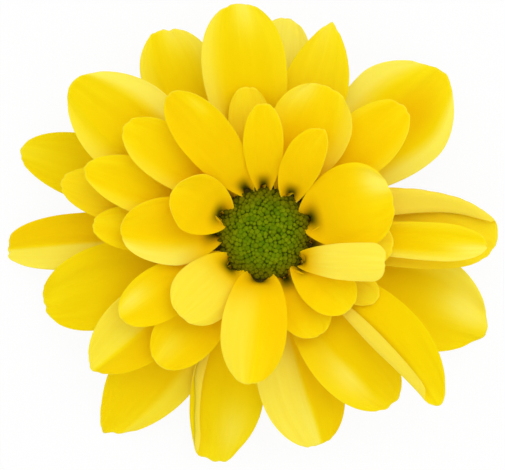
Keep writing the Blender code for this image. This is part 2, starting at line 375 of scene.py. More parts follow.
rayFlorets = {
    "seed": 7,
    "rows": 96,
    "columns": 80,
    "thickness": 0.28 * mm,
    "rootWidth": 2.6 * mm,
    "rootCup": 120,  # degrees
    "rootReach": 6.0 * mm,  # how far out from the root the channel stays rolled
    "grooveDepth": 0.05 * mm,
    "ruffle": 0.45 * mm,
    "pleat": 0.5 * mm,
    "pleatWidth": 12.0,  # mm: narrower florets are pleated less
    "notch": 0.008,  # share of the length
    "notchPlaces": (0.0, 0.25, 0.3, 0.35),  # shares of the half width
    "tooth": 0.8 * mm,  # how far the claw's corners reach over the disc's edge
    "veinFineness": 8.0,
    # spans below are shares of the length or of the half width, the painted throat shade's first one is a
    # distance
    "outline": dict(lastRow=0.55, roundEnd=5.0, tipOnly=20.0, notchWidth=0.13, raggedness=0.03),
    "edges": dict(atTip=160.0, atRoot=60.0, roundness=0.45),
    "clawRoll": 2.5,
    "toothPowers": (3.0, 5.0),  # across and along
    "tipFall": (1.7, 0.5),  # for a pointed tip, and what a round one adds
    "tipBulge": (1.15, 0.95),
    "notchRange": (0.3, 1.3),
    "leastCup": 0.0003,  # keeps a flat section from dividing by zero
    "foldSpans": dict(start=(0.05, 0.35), end=(0.8, 1.0), left=0.2),  # left is what is left of it at the tip
    "grooves": dict(place=0.36, width=0.12, ribs=21.0, ribShare=0.05, start=(0.06, 0.3), end=(0.9, 1.0)),
    "waves": dict(stretch=(1.1, 2.6, 7.7), start=(0.12, 0.5), inMiddle=0.25, towardsEdge=1.3),
    "pleats": dict(stretch=(2.6, 0.9, 3.1), start=(0.2, 0.7)),
    "crease": dict(reach=0.35, roundness=0.004, start=(0.08, 0.45)),
    "glowSize": (0.17, 0.4),
    "marginSpan": (0.35, 0.95),
    # painted shade in the hollow at each claw's root, over the claw's own olive-green base: how far out it
    # fades, and how far across
    "throat": dict(reach=(0.4 * mm, 3.6 * mm), span=(0.1, 0.95)),
    # level by level, from the lowest to the highest
    "rootRadius": (7.0, 6.95, 6.95, 7.0, 7.05),  # mm
    "rootHeight": (5.4, 6.0, 6.8, 7.6, 8.2),  # mm
    "rootSlope": (4, 20, 38, 60, 78),  # degrees above level
    "tipSlope": (-23, -12, -2, 4, 4),
    "arch": (1.2, 1.3, 1.6, 1.9, 2.0),
    # used where a floret's own line says nothing else: angles in degrees, ridge as a slope, foldFrom,
    # foldSpan, ridgeAt and apex as shares of the half width (left is +), foldTaper as how much narrower
    # the fold gets towards the tip, pale as the strength of a paler colour with painted light and sheen
    # (painted shade, a deeper yellow, below 0), paleSide as painted light on one side of the ridge and
    # painted shade on the other, edge as how soft that side ends, glow as the place along and across and
    # the strength of a painted highlight (painted shade below 0), margins as the left and the right one's
    # paleness, partly their own and partly a painted highlight, gold as an addition to the ring's goldenness
    "plain": dict(
        rise=0, root=0, lean=0, bend=0, cup=20, left=0, right=0, foldFrom=0.45, foldTaper=0, foldSpan=0.3,
        heel=1.1, tip=0.6, widest=0.62, apex=0, ridge=0, ridgeAt=0, pale=0, paleSide=0, edge=0.12,
        glow=(0.5, 0, 0), margins=(0, 0), gold=0,
    ),
    "goldenness": dict(outer=-0.6, middle=0.35, inner=0.6),  # from lemon at -1 to golden at 1
    "toneStray": 0.3,
    "outer": [
        petal(96.8, 32.9, 12.0, 1.3, cup=14, tip=0.9, widest=0.66, glow=(1.0, -0.2, 1.0),
              margins=(0.8, 0.2)),
        petal(84.3, 31.5, 9.0, 0.0, rise=-1, tip=0.8, widest=0.66, pale=1),
        petal(72.2, 31.9, 9.4, 0.9, bend=10, root=-2, tip=0.0, widest=0.6, pale=0.2, glow=(1.0, 0.2, 0.5)),
        petal(42.2, 35.1, 16.0, 0.3, bend=6, tip=0.2, apex=-0.12, widest=0.66, ridge=0.5, ridgeAt=0.25,
              paleSide=0.15, glow=(0.7, -0.15, -1.6), margins=(1.4, 1.6), gold=-1.0),
        petal(-4.1, 32.9, 15.6, 0.8, root=27, bend=-46, left=172, foldFrom=0.24, foldTaper=0.75,
              foldSpan=0.24, tip=0.75, widest=0.42, pale=0.35, gold=1.2),
        petal(-3.0, 31.4, 5.4, 1.8, bend=-4, tip=0.9, widest=0.72, cup=10, glow=(0.95, -0.3, 1.2),
              margins=(0.3, 0.9)),
        petal(-23.6, 35.4, 14.2, 0.1, rise=-1, bend=-6, tip=0.2, ridge=-0.7, ridgeAt=0.5,
              glow=(0.85, 0.25, 1.2), margins=(0.8, 0.0)),
        petal(-44.2, 34.7, 9.4, 1.8, bend=-34, right=172, foldFrom=0.5, foldSpan=0.18, tip=0.2, widest=0.6,
              gold=-0.5),
        petal(-52.4, 30.3, 11.8, 1.28, bend=16, root=-5, tip=0.7, cup=35, ridge=-0.5, ridgeAt=-0.2,
              pale=-0.15, paleSide=-0.3, glow=(0.7, -0.35, 0.8), gold=-0.4),
        petal(-75.1, 31.3, 12.4, 0.65, bend=10, tip=0.7, ridge=-0.6, ridgeAt=0.1, paleSide=-0.9,
              glow=(0.9, 0.3, 0.6)),
        petal(-102.6, 33.9, 13.4, 0.38, rise=-3.7, root=-8, bend=20, right=150, foldFrom=0.6, foldSpan=0.15,
              tip=0.4, apex=0.4, ridge=-0.4, ridgeAt=0.2, glow=(0.8, 0.45, 0.7)),
        petal(-128.4, 37.1, 12.0, 0.0, rise=1.3, tip=0.15, apex=-0.15, widest=0.58, ridge=0.25, ridgeAt=0.5,
              pale=0.3, paleSide=0.25, gold=1.2),
        petal(-141.8, 31.2, 10.0, 1.2, bend=10, tip=0.4, ridge=0.7, ridgeAt=0.15, paleSide=-0.7),
        petal(-161.8, 33.3, 12.2, 0.4, tip=0.8, cup=30),
        petal(-176.8, 37.3, 8.2, 0.0, rise=1.7, bend=8, tip=1.2, apex=0.3, widest=0.64, ridge=-0.3,
              ridgeAt=0.05, pale=0.1, paleSide=0.8, gold=1.2),
        petal(161.0, 37.4, 9.6, 0.1, rise=-0.5, root=-6, bend=8, tip=0.6, glow=(1.0, 0.0, 0.3)),
        petal(165.7, 29.8, 7.6, 1.05, rise=4, root=-1, tip=0.8, pale=0.25, gold=1.6),
        petal(141.7, 34.8, 13.6, 1.3, tip=0.4, ridge=0.4, ridgeAt=0.45, glow=(0.7, 0.0, -0.3),
              margins=(0.7, 1.8), gold=-0.3),
        petal(116.6, 32.9, 11.0, 0.4, bend=-14, tip=0.7, widest=0.7, apex=0.25, glow=(1.0, -0.3, 0.9),
              margins=(0.6, 0.8)),
    ],
    "middle": [
        petal(124.5, 23.6, 7.8, 3.15, root=-12, bend=8, tip=0.7, cup=35, pale=-0.6, glow=(0.8, -0.6, 1.0),
              gold=-0.6),
        petal(142.5, 24.8, 8.2, 2.6, root=-8, bend=8, tip=0.7, cup=30, margins=(0.5, 0.1)),
        petal(160.0, 27.0, 7.8, 2.05, bend=10, tip=0.5, cup=30, margins=(0.5, 0.1)),
        petal(177.0, 24.3, 6.6, 1.62, rise=5, root=3, tip=0.8, pale=0.08, gold=0.6),
        petal(-149.5, 23.4, 7.8, 2.3, bend=6, tip=0.8, glow=(0.85, -0.4, 0.9)),
        petal(-129.0, 23.8, 9.2, 1.9, bend=-6, tip=0.8, cup=35, glow=(0.85, -0.1, 0.5)),
        petal(-30.0, 18.4, 5.4, 2.35, rise=9, root=3, tip=1.0, cup=35, pale=0.35, gold=0.6),
        petal(42.3, 26.8, 9.0, 1.75, tip=0.8, cup=30, pale=-0.2, margins=(0.5, 0.5)),
        petal(66.5, 22.6, 11.8, 2.25, tip=0.9, cup=35, glow=(0.9, 0.6, 0.7), margins=(0.3, 0.6)),
        petal(97.0, 21.0, 6.2, 2.1, tip=0.9, pale=0.35, gold=0.5),
    ],
    "inner": [
        petal(90.5, 18.2, 5.8, 3.3, rise=14, tip=0.9, cup=30),
        petal(155.5, 14.2, 8.8, 4.0, rise=24, tip=1.0, cup=45, pale=-0.25, heel=0.6),
        petal(178.2, 20.2, 9.8, 2.8, tip=0.8, widest=0.5, cup=35, heel=0.8, ridgeAt=0.4, pale=0.35,
              paleSide=0.7, edge=0.4, gold=0.4),
        petal(-136.0, 16.4, 9.0, 3.4, rise=6, lean=20, tip=1.0, cup=-25, pale=0.7, heel=0.7),
        petal(-96.2, 20.9, 9.4, 3.7, lean=24, tip=0.8, cup=-20, ridge=0.5, ridgeAt=0.2, paleSide=-0.65,
              edge=0.6, heel=0.6),
        petal(-61.0, 16.3, 7.8, 2.9, rise=3, root=-3, tip=0.7, cup=35, heel=0.8),
        petal(-40.0, 16.0, 7.6, 3.7, rise=4, tip=0.9, ridge=-0.4, ridgeAt=-0.1, heel=0.8),
        petal(-13.5, 17.2, 5.6, 4.0, rise=10, root=-18, lean=20, tip=1.2, cup=-25, widest=0.86, apex=0.85,
              pale=0.9, heel=1.3),
        petal(-4.0, 18.2, 7.4, 2.9, root=-8, tip=0.9, cup=20, pale=0.4, heel=0.7),
        petal(16.5, 18.7, 12.4, 3.5, rise=4, root=2, tip=0.9, cup=25, heel=0.75, glow=(0.9, 0.5, 1.3),
              gold=0.3),
        petal(60.0, 16.8, 5.8, 3.7, rise=14, root=-3, bend=-28, tip=0.4, cup=40, pale=-0.3, heel=0.7),
    ],
    "surface": {
        "Roughness": 0.6,
        "Specular IOR Level": 0.12,
        "Specular Tint": (1.0, 0.82, 0.05, 1.0),
        "Subsurface Weight": 0.4,
        "Subsurface Radius": (0.8, 0.8, 0.1),
        "Subsurface Scale": 0.6 * mm,
    },
    "yellowsAt": (0.0, 0.25, 0.6, 1.0),  # from root to tip
    "lemon": [(0.91, 0.53, 0.001), (0.96, 0.64, 0.001), (0.91, 0.65, 0.001), (0.86, 0.65, 0.002)],
    "golden": [(0.93, 0.50, 0.001), (0.99, 0.62, 0.001), (0.98, 0.645, 0.001), (0.95, 0.66, 0.001)],
    "colours": dict(
        # the second and third yellows here are the pale field's: partly a paler petal, partly painted light
        # and sheen
        fleck=(1.0, 0.79, 0.008), paleAndLit=(1.0, 0.81, 0.008), paleAndSheen=(1.0, 0.83, 0.10),
        # the first is painted shade in a deeper yellow, the second the claw's own olive-green darkened into
        # painted shade in the throat's hollow
        deepShade=(0.86, 0.53, 0.001), throat=(0.08, 0.085, 0.001), underside=(0.97, 0.77, 0.09),
    ),
    # rim paints a highlight along the free edges, and the fifth strength is that of the painted shade
    "strengths": dict(patch=0.4, streak=0.22, rim=0.06, paleStreak=0.2, deepShade=0.6, underside=0.6, veins=0.4),
    "colourSpans": dict(patch=(0.42, 0.68), pastRoot=(0.15, 0.5), flecks=(0.5, 1.0), rim=(0.84, 1.0)),
    "patchStretch": (1.2, 2.2, 23.0),
    "veinDepth": 0.03 * mm,
}


def makeRayFloretMaterial():
    colours, strengths, spans = (rayFlorets[key] for key in ("colours", "strengths", "colourSpans"))
    made, tree, shader = newMaterial("rayFloretYellow", rayFlorets["surface"])
    across, along, rim, tone, pale, throat, underside = (
        attribute(tree, name) for name in ("across", "along", "rim", "tone", "pale", "throat", "underside")
    )
    fineness = rayFlorets["veinFineness"]
    veins = useGroup(tree, lengthwiseVeins, Across=across, Along=along, Tone=tone, Fineness=fineness)
    wide, far, step = rayFlorets["patchStretch"]
    patch = noise(tree, arrow(tree, across * wide, along * far, tone * step)).smooth(*spans["patch"])
    places = rayFlorets["yellowsAt"]
    lemon, golden = (ramp(tree, along, list(zip(places, rayFlorets[name]))) for name in ("lemon", "golden"))
    body = blend(tree, tone.smooth(-1.0, 1.0), lemon, golden)
    pastRoot = along.smooth(*spans["pastRoot"])
    flecks = patch * strengths["patch"] + veins["Streak"] * strengths["streak"]
    flecks = along.smooth(*spans["flecks"]) * flecks
    # a painted highlight along the free edges, added to the flecks
    flecks = flecks + rim.smooth(*spans["rim"]) * strengths["rim"] * pastRoot
    colour = blend(tree, flecks, body, colours["fleck"])
    # where pale is above 0: a paler colour with painted light and sheen
    paleAndSheen = blend(tree, pale, colours["paleAndLit"], colours["paleAndSheen"])
    streaked = (1.0 - strengths["paleStreak"]) + veins["Streak"] * strengths["paleStreak"]
    colour = blend(tree, pale.atLeast(0.0) * streaked * pastRoot, colour, paleAndSheen)
    # where pale is below 0: painted shade in a deeper yellow
    colour = blend(tree, pale.atMost(0.0) * -strengths["deepShade"] * pastRoot, colour, colours["deepShade"])
    # painted shade in the throat's hollow, over the claw's own olive-green
    colour = blend(tree, throat, colour, colours["throat"])
    colour = blend(tree, underside * strengths["underside"], colour, colours["underside"])
    feed(tree, colour, shader.inputs["Base Color"])
    normal = bump(tree, veins["Height"], rayFlorets["veinDepth"], strengths["veins"])
    feed(tree, normal, shader.inputs["Normal"])
    return made


def midribOf(floret, steps=64):
    atLevel = lambda key: float(np.interp(floret["level"], range(len(rayFlorets[key])), rayFlorets[key]))
    shares = np.linspace(0, 1, steps + 1)
    tipSlope = math.radians(atLevel("tipSlope") + floret["rise"])
    rootSlope = math.radians(atLevel("rootSlope") + floret["lean"])
    slopes = tipSlope + (rootSlope - tipSlope) * (1 - shares) ** atLevel("arch")
    rootTurn = math.radians(floret["direction"] + floret["root"])
    tipTurn = math.radians(floret["direction"])
    start = atLevel("rootRadius") * np.array([math.cos(rootTurn), math.sin(rootTurn)])
    chord = floret["reach"] * np.array([math.cos(tipTurn), math.sin(tipTurn)]) - start
    turns = math.radians(floret["bend"]) * (shares - 0.5)
    middle = (shares[1:] + shares[:-1]) / 2
    slope, turn = np.interp(middle, shares, slopes), np.interp(middle, shares, turns)
    run = np.array([(np.cos(slope) * np.cos(turn)).mean(), (np.cos(slope) * np.sin(turn)).mean()])
    length = np.linalg.norm(chord) / np.linalg.norm(run)
    course = math.atan2(chord[1], chord[0]) - math.atan2(run[1], run[0])
    turn, turns = turn + course, turns + course
    walk = np.stack([np.cos(slope) * np.cos(turn), np.cos(slope) * np.sin(turn), np.sin(slope)], axis=1)
    places = np.vstack([[0, 0, 0], np.cumsum(walk * length / steps, axis=0)])
    places = (places + [*start, atLevel("rootHeight")]) * mm + np.array(headAxis)
    mesh = bpy.data.meshes.new("midrib")
    mesh.from_pydata(places.tolist(), [(step, step + 1) for step in range(steps)], [])
    sideways = mesh.attributes.new("sideways", "FLOAT_VECTOR", "POINT")
    sides = np.stack([-np.sin(turns), np.cos(turns), np.zeros_like(turns)], axis=1)
    sideways.data.foreach_set("vector", sides.astype(np.float32).ravel())
    return mesh, length * mm


def makeRayFloretTree(finish):
    inputs = {
        "Geometry": "Midrib",
        "Float": (
            "Length, Width, Root Width, Root Cup, Root Reach, Heel, Widest, End Fall, End Bulge, Apex, Cup, "
            "Fold From, Fold Taper, Fold Span, Left Fold, Right Fold, Thickness, Groove Depth, Ruffle, "
            "Pleat, Ridge, Ridge Place, Notch, Notch Place, Tooth, Pale, Pale Side, Pale Blur, Glow, "
            "Glow Along, Glow Across, Left Margin, Right Margin, Seed, Tone"
        ),
        "Int": "Rows, Columns",
    }
    tree = newTree("rayFloret", "GeometryNodeTree", inputs, {"Geometry": "Floret"})
    given = groupInputs(tree)
    sheet = newSheet(tree, given["Columns"], given["Rows"])
    around, place, _ = Arrow(tree, sheet.outputs["UV Map"]).parts()
    angle = around * math.tau  # the section runs over the upper face and back under the lower one
    across, face = angle.cos(), angle.sin()
    spread = across.size()

    # outline: where each row lies along the midrib, and how wide it is
    outline = rayFlorets["outline"]
    widest, fall, bulge = given["Widest"], given["End Fall"], given["End Bulge"]
    endAt = lambda share: widest + (1.0 - widest) * (1.0 - share**bulge).atLeast(0.0) ** (1.0 / fall)
    last = endAt(outline["lastRow"])
    row = last * place
    beside = across - given["Apex"]  # how far from the apex, as a share of that side's width
    fromApex = beside.size() / (1.0 - given["Apex"] * beside.sign())
    atTip = place ** outline["tipOnly"]
    notches = spread.hill(given["Notch Place"], outline["notchWidth"]) * given["Notch"] * atTip
    uneven = noise(tree, arrow(tree, across * 2.0, given["Seed"] * 5.3), detail=1.0) - 0.5
    uneven = uneven * atTip * (1.0 - spread**4.0) * outline["raggedness"]
    roundEnd = (endAt(fromApex * outline["lastRow"]) - last) * place ** outline["roundEnd"]
    along = (row + roundEnd - notches + uneven).atLeast(0.0).atMost(1.0)
    rootShare = given["Root Width"] / given["Width"]
    opening = ((row / widest).atMost(1.0) * (math.pi / 2)).sin() ** given["Heel"]
    opening = rootShare + (1.0 - rootShare) * opening
    past = ((row - widest) / (1.0 - widest)).atLeast(0.0)
    closing = (1.0 - past**fall).atLeast(0.0) ** (1.0 / bulge)
    half = opening.atMost(closing) * given["Width"] * 0.5

    # cross section: a channel that is rolled near the root, and a margin that may be folded over
    folds = rayFlorets["foldSpans"]
    bendFrom = given["Fold From"] + (1.0 - given["Fold From"]) * given["Fold Taper"] * along**2.0
    bendTo = bendFrom + given["Fold Span"]
    outFromRoot = along * given["Length"]
    nearRoot = (1.0 - outFromRoot / given["Root Reach"]).atLeast(0.0)
    clawCup = given["Root Cup"] * nearRoot ** rayFlorets["clawRoll"]
    cup = given["Cup"] * along + clawCup + rayFlorets["leastCup"]
    leftSide = across.above(0.0)
    fold = given["Right Fold"] + (given["Left Fold"] - given["Right Fold"]) * leftSide
    fold = fold * along.smooth(*folds["start"]) * (1.0 - along.smooth(*folds["end"]) * (1.0 - folds["left"]))
    bendRate = cup + fold / given["Fold Span"]
    stretches = [  # each one's length, how fast it turns, and the turn it starts at
        (spread.atMost(bendFrom), cup, cup * 0.0),
        (spread.atLeast(bendFrom).atMost(bendTo) - bendFrom, bendRate, cup * bendFrom),
        (spread.atLeast(bendTo) - bendTo, cup, cup * bendFrom + bendRate * given["Fold Span"]),
    ]
    turn, sideReach, lift = 0.0, 0.0, 0.0
    for distance, rate, start in stretches:
        end = start + rate * distance
        sideReach = (end.sin() - start.sin()) / rate + sideReach
        lift = (start.cos() - end.cos()) / rate + lift
        turn = rate * distance + turn

    # the midrib's place and directions at each row
    midrib = addNode(tree, "GeometryNodeMeshToCurve", {0: given["Midrib"]})
    values = {"Name": "sideways"}
    sideways = addNode(tree, "GeometryNodeInputNamedAttribute", values, data_type="FLOAT_VECTOR")
    values = {"Curves": midrib.outputs[0], "Value": sideways.outputs["Attribute"], "Factor": along}
    sample = addNode(tree, "GeometryNodeSampleCurve", values, mode="FACTOR", data_type="FLOAT_VECTOR")
    ahead = Arrow(tree, openSocket(sample.outputs, "Tangent")).unit()
    side = Arrow(tree, openSocket(sample.outputs, "Value")).unit()
    up = ahead.cross(side)
    normal = up * turn.cos() - side * (across.sign() * turn.sin())

    # relief: two grooves, fine ribs, a wavy margin, pleats and a crease
    grooved, waved, pleated, creased = (rayFlorets[key] for key in ("grooves", "waves", "pleats", "crease"))
    ribbed = along.smooth(*grooved["start"]) * (1.0 - along.smooth(*grooved["end"]))
    ribs = (spread * grooved["ribs"]).cos() * grooved["ribShare"]
    grooves = spread.hill(grooved["place"], grooved["width"]) * -1.0 + ribs
    waves, pleats = (
        noise(tree, arrow(tree, across * wide, along * far, given["Seed"] * step), detail=1.0) - 0.5
        for wide, far, step in (waved["stretch"], pleated["stretch"])
    )
    fromRidge = across - given["Ridge Place"]
    reach = creased["reach"]
    decay = lambda gap: eulerNumber ** ((gap * gap + creased["roundness"]) ** 0.5 / -reach)
    crease = lambda gap: reach - reach * decay(gap)
    slopes = crease(fromRidge) - crease(given["Ridge Place"])
    relief = grooves * ribbed * given["Groove Depth"]
    atEdge = spread ** waved["towardsEdge"] + waved["inMiddle"]
    relief = relief + waves * given["Ruffle"] * atEdge * along.smooth(*waved["start"]) * 2.0
    relief = relief + pleats * given["Pleat"] * along.smooth(*pleated["start"]) * 2.0
    relief = relief - slopes * half * given["Ridge"] * along.smooth(*creased["start"])
    shell = shellHeight(face, place, given["Thickness"], **rayFlorets["edges"])
    toothAcross, toothAlong = rayFlorets["toothPowers"]
    corner = given["Tooth"] * spread**toothAcross * nearRoot**toothAlong
    inward = (ahead * arrow(tree, -1.0, -1.0, 0.0)).unit()
    spot = Arrow(tree, openSocket(sample.outputs, "Position"))
    spot = spot + side * (across.sign() * sideReach * half) + up * (lift * half)
    spot = spot + normal * (relief + shell) + inward * corner

    # where it is pale and painted lit (painted shade below 0), and how dark the painted shade in the throat
    # is
    blur, (glowLength, glowWidth) = given["Pale Blur"], rayFlorets["glowSize"]
    # one side of the ridge gets painted light, the other painted shade
    lit = fromRidge.smooth(blur * -1.0, blur) * 2.0 - 1.0
    # glow: a painted highlight patch; with a strength below 0 it is painted shade
    glow = along.hill(given["Glow Along"], glowLength) * across.hill(given["Glow Across"], glowWidth)
    pale = given["Pale"] + given["Pale Side"] * lit + glow * given["Glow"]
    # the margins: partly paler margins, partly a painted highlight
    pale = pale + given["Left Margin"] * across.smooth(*rayFlorets["marginSpan"])
    pale = pale + given["Right Margin"] * (across * -1.0).smooth(*rayFlorets["marginSpan"])
    throat = rayFlorets["throat"]
    throat = (1.0 - outFromRoot.smooth(*throat["reach"])) * (1.0 - spread.smooth(*throat["span"]))

    marks = {
        "across": across,
        "along": along,
        "rim": spread.atLeast(place),
        "underside": (face * -1.0).above(0.0),
        "tone": given["Tone"],
        "pale": pale,
        "throat": throat,
    }
    finishTree(tree, closeSheet(tree, sheet, marks, spot), finish)
    return tree


def growRayFlorets():
    tree = makeRayFloretTree(makeRayFloretMaterial())
    chance = random.Random(rayFlorets["seed"])
    fall, bulge, stray = (rayFlorets[key] for key in ("tipFall", "tipBulge", "toneStray"))
    for ring in ("outer", "middle", "inner"):
        for number, row in enumerate(rayFlorets[ring], start=1):
            floret = {**rayFlorets["plain"], **row}
            seed = chance.uniform(0.0, 10.0)
            midrib, length = midribOf(floret)
            narrowness = min(1.0, floret["width"] / rayFlorets["pleatWidth"])
            values = {
                **labelled(rayFlorets),
                **labelled(floret),
                "Length": length,
                "Width": floret["width"] * mm,
                "End Fall": fall[0] + fall[1] * floret["tip"],
                "End Bulge": bulge[0] + bulge[1] * floret["tip"],
                "Cup": math.radians(floret["cup"]),
                "Root Cup": math.radians(rayFlorets["rootCup"]),
                "Left Fold": math.radians(floret["left"]),
                "Right Fold": math.radians(floret["right"]),
                "Ridge Place": floret["ridgeAt"],
                "Pleat": rayFlorets["pleat"] * narrowness**2,
                "Pale Blur": floret["edge"],
                "Glow Along": floret["glow"][0],
                "Glow Across": floret["glow"][1],
                "Glow": floret["glow"][2],
                "Left Margin": floret["margins"][0],
                "Right Margin": floret["margins"][1],
                "Notch": rayFlorets["notch"] * chance.uniform(*rayFlorets["notchRange"]),
                "Notch Place": chance.choice(rayFlorets["notchPlaces"]),
                "Seed": seed,
                "Tone": rayFlorets["goldenness"][ring] + floret["gold"] + chance.uniform(-stray, stray),
            }
            thing = grow(f"rayFloret{ring.capitalize()}{number:02d}", tree, values, midrib)
            keep(thing, [f"{ring}_petal_{number:02d}"])


growRayFlorets()
print("stage: ray florets")


# Disc florets: green buds in a sunflower spiral on a low dome.

discFlorets = {
    "count": 400,
    "radius": 6.35 * mm,
    "rimHeight": discLow.z - 0.5 * mm,
    "domeHeight": 2.5 * mm,
    "budRadius": 0.40 * mm,
    "unevenness": 0.25,
    "straying": 0.12 * mm,
    "seed": 3,
    "goldenAngle": math.radians(137.508),
    "lobes": dict(count=5.0, depth=0.14),
    "dimple": dict(width=0.12, depth=0.3),
    "budDetail": (10, 7),  # segments and rings
    "domeDetail": (48, 24),
    "budTallness": 1.1,
    "leanOut": 0.75,
    "leanStray": 0.12,
    "rimGrowth": 0.16,  # how much wider the outer buds are, as a share
    "surface": {"Roughness": 0.6, "Specular IOR Level": 0.1, "Specular Tint": (0.8, 1.0, 0.1, 1.0)},
    "colours": dict(
        dark=(0.09, 0.18, 0.001), light=(0.21, 0.29, 0.002), patch=(0.17, 0.19, 0.001),
        # outer buds are browner; the rim colour is painted shade at the disc's edge, under the petals' claws;
        # the last is painted shade low down between the buds
        outer=(0.16, 0.14, 0.001), rim=(0.05, 0.05, 0.001), between=(0.08, 0.11, 0.001),
    ),
    "strengths": dict(patch=0.4, outer=0.8, rim=0.6),
    "colourSpans": dict(outer=(0.55, 0.95), rim=(0.9, 1.0), between=(0.1, 0.8)),
    "mottleScale": 420.0,
}


def makeBudMaterial():
    colours, strengths, spans = (discFlorets[key] for key in ("colours", "strengths", "colourSpans"))
    made, tree, shader = newMaterial("discBudGreen", discFlorets["surface"])
    tone, reach, height = (attribute(tree, name) for name in ("budTone", "budReach", "budHeight"))
    mottle = useGroup(tree, softMottle, Vector=objectPlace(tree), Scale=discFlorets["mottleScale"])
    colour = blend(tree, tone, colours["dark"], colours["light"])
    colour = blend(tree, mottle["Patch"] * strengths["patch"], colour, colours["patch"])
    # the outer buds browner, then painted shade at the disc's edge under the claws
    for name in ("outer", "rim"):
        colour = blend(tree, reach.smooth(*spans[name]) * strengths[name], colour, colours[name])
    # painted shade low down between the buds
    colour = blend(tree, height.smooth(*spans["between"]), colours["between"], colour)
    feed(tree, colour, shader.inputs["Base Color"])
    return made


def makeDiscTree(finish):
    inputs = {
        "Int": "Count, Seed",
        "Float": "Radius, Rim Height, Dome Height, Bud Radius, Unevenness, Straying",
        "Vector": "Centre",
    }
    tree = newTree("discFlorets", "GeometryNodeTree", inputs, {"Geometry": "Disc"})
    given = groupInputs(tree)

    # one bud: a closed oval with shallow lobes and a dimple on top
    ball, dome = (
        addNode(tree, "GeometryNodeMeshUVSphere", {"Segments": segments, "Rings": rings, "Radius": 1.0})
        for segments, rings in (discFlorets["budDetail"], discFlorets["domeDetail"])
    )
    x, y, z = Arrow(tree, addNode(tree, "GeometryNodeInputPosition").outputs[0]).parts()
    top = z.smooth(0.0, 0.9)
    lobes = (y.maths("ARCTAN2", x) * discFlorets["lobes"]["count"]).cos()
    squeeze = 1.0 + lobes * top * discFlorets["lobes"]["depth"]
    dimple = (x * x + y * y).hill(0.0, discFlorets["dimple"]["width"]) * top * discFlorets["dimple"]["depth"]
    spot = arrow(tree, x * squeeze, y * squeeze, z * discFlorets["budTallness"] - dimple)
    marked = store(tree, ball.outputs["Mesh"], "budHeight", z * 0.5 + 0.5)
    bud = addNode(tree, "GeometryNodeSetPosition", {"Geometry": marked, "Position": spot})

    # their places: a spiral of even density, tilted out with the dome
    index = Number(tree, addNode(tree, "GeometryNodeInputIndex").outputs[0])
    share = ((index + 0.5) / given["Count"]) ** 0.5
    angle = index * discFlorets["goldenAngle"]
    height = given["Rim Height"] + given["Dome Height"] * (1.0 - share * share).atLeast(0.0) ** 0.5

    chance = lambda low, high, salt: randomNumber(tree, low, high, index, given["Seed"] + float(salt))
    toneSalt, growthSalt = 1, 4
    strayX, strayY, strayZ = (chance(-1.0, 1.0, salt) * given["Straying"] for salt in (5, 6, 7))
    tilt = discFlorets["leanStray"]
    tiltX, tiltY = (chance(-tilt, tilt, salt) for salt in (2, 3))
    radius = share * given["Radius"]
    place = arrow(tree, radius * angle.cos() + strayX, radius * angle.sin() + strayY, height + strayZ)
    points = addNode(tree, "GeometryNodePoints", {"Count": given["Count"], "Position": place})
    marked = store(tree, points.outputs[0], "budTone", chance(0.0, 1.0, toneSalt))
    marked = store(tree, marked, "budReach", share)
    lean = share**3.0 * discFlorets["leanOut"]
    way = arrow(tree, angle.cos() * lean + tiltX, angle.sin() * lean + tiltY, 1.0)
    turned = addNode(tree, "FunctionNodeAlignRotationToVector", {"Vector": way}, axis="Z")
    growth = given["Bud Radius"] * (1.0 + chance(-1.0, 1.0, growthSalt) * given["Unevenness"])
    half = discFlorets["rimGrowth"] / 2
    growth = growth * (1.0 - half + share * discFlorets["rimGrowth"])
    values = {"Points": marked, "Instance": bud.outputs[0], "Rotation": turned.outputs[0], "Scale": growth}
    buds = addNode(tree, "GeometryNodeInstanceOnPoints", values)

    # the dome under them
    flat = arrow(tree, given["Radius"], given["Radius"], given["Dome Height"])
    rest = arrow(tree, 0.0, 0.0, given["Rim Height"] - 0.05 * mm)
    values = {"Geometry": dome.outputs["Mesh"], "Translation": rest, "Scale": flat}
    base = addNode(tree, "GeometryNodeTransform", values)
    both = addNode(tree, "GeometryNodeJoinGeometry")
    for part in (base, buds):
        tree.links.new(part.outputs[0], both.inputs[0])
    finishTree(tree, both.outputs[0], finish, given["Centre"])
    return tree


def growDisc():
    values = {**labelled(discFlorets), "Centre": headAxis}
    keep(grow("discFlorets", makeDiscTree(makeBudMaterial()), values), ["disc_florets"])


growDisc()
print("stage: disc florets")


def addGrain(tree, shader, piece, colour, across, along, tone):  # streaks, patches and fine ridges
    colours, strengths, fineness = piece["colours"], piece["strengths"], piece["veinFineness"]
    veins = useGroup(tree, lengthwiseVeins, Across=across, Along=along, Tone=tone, Fineness=fineness)
    mottle = useGroup(tree, softMottle, Vector=objectPlace(tree), Scale=piece["mottleScale"])
    normal = bump(tree, veins["Height"], piece["veinDepth"], strengths["veins"])
    feed(tree, normal, shader.inputs["Normal"])
    colour = blend(tree, veins["Streak"] * strengths["streak"], colour, colours["streak"])
    return blend(tree, mottle["Patch"] * strengths["patch"], colour, colours["patch"])


# Bracts: three overlapping rows of green scales under the flower.

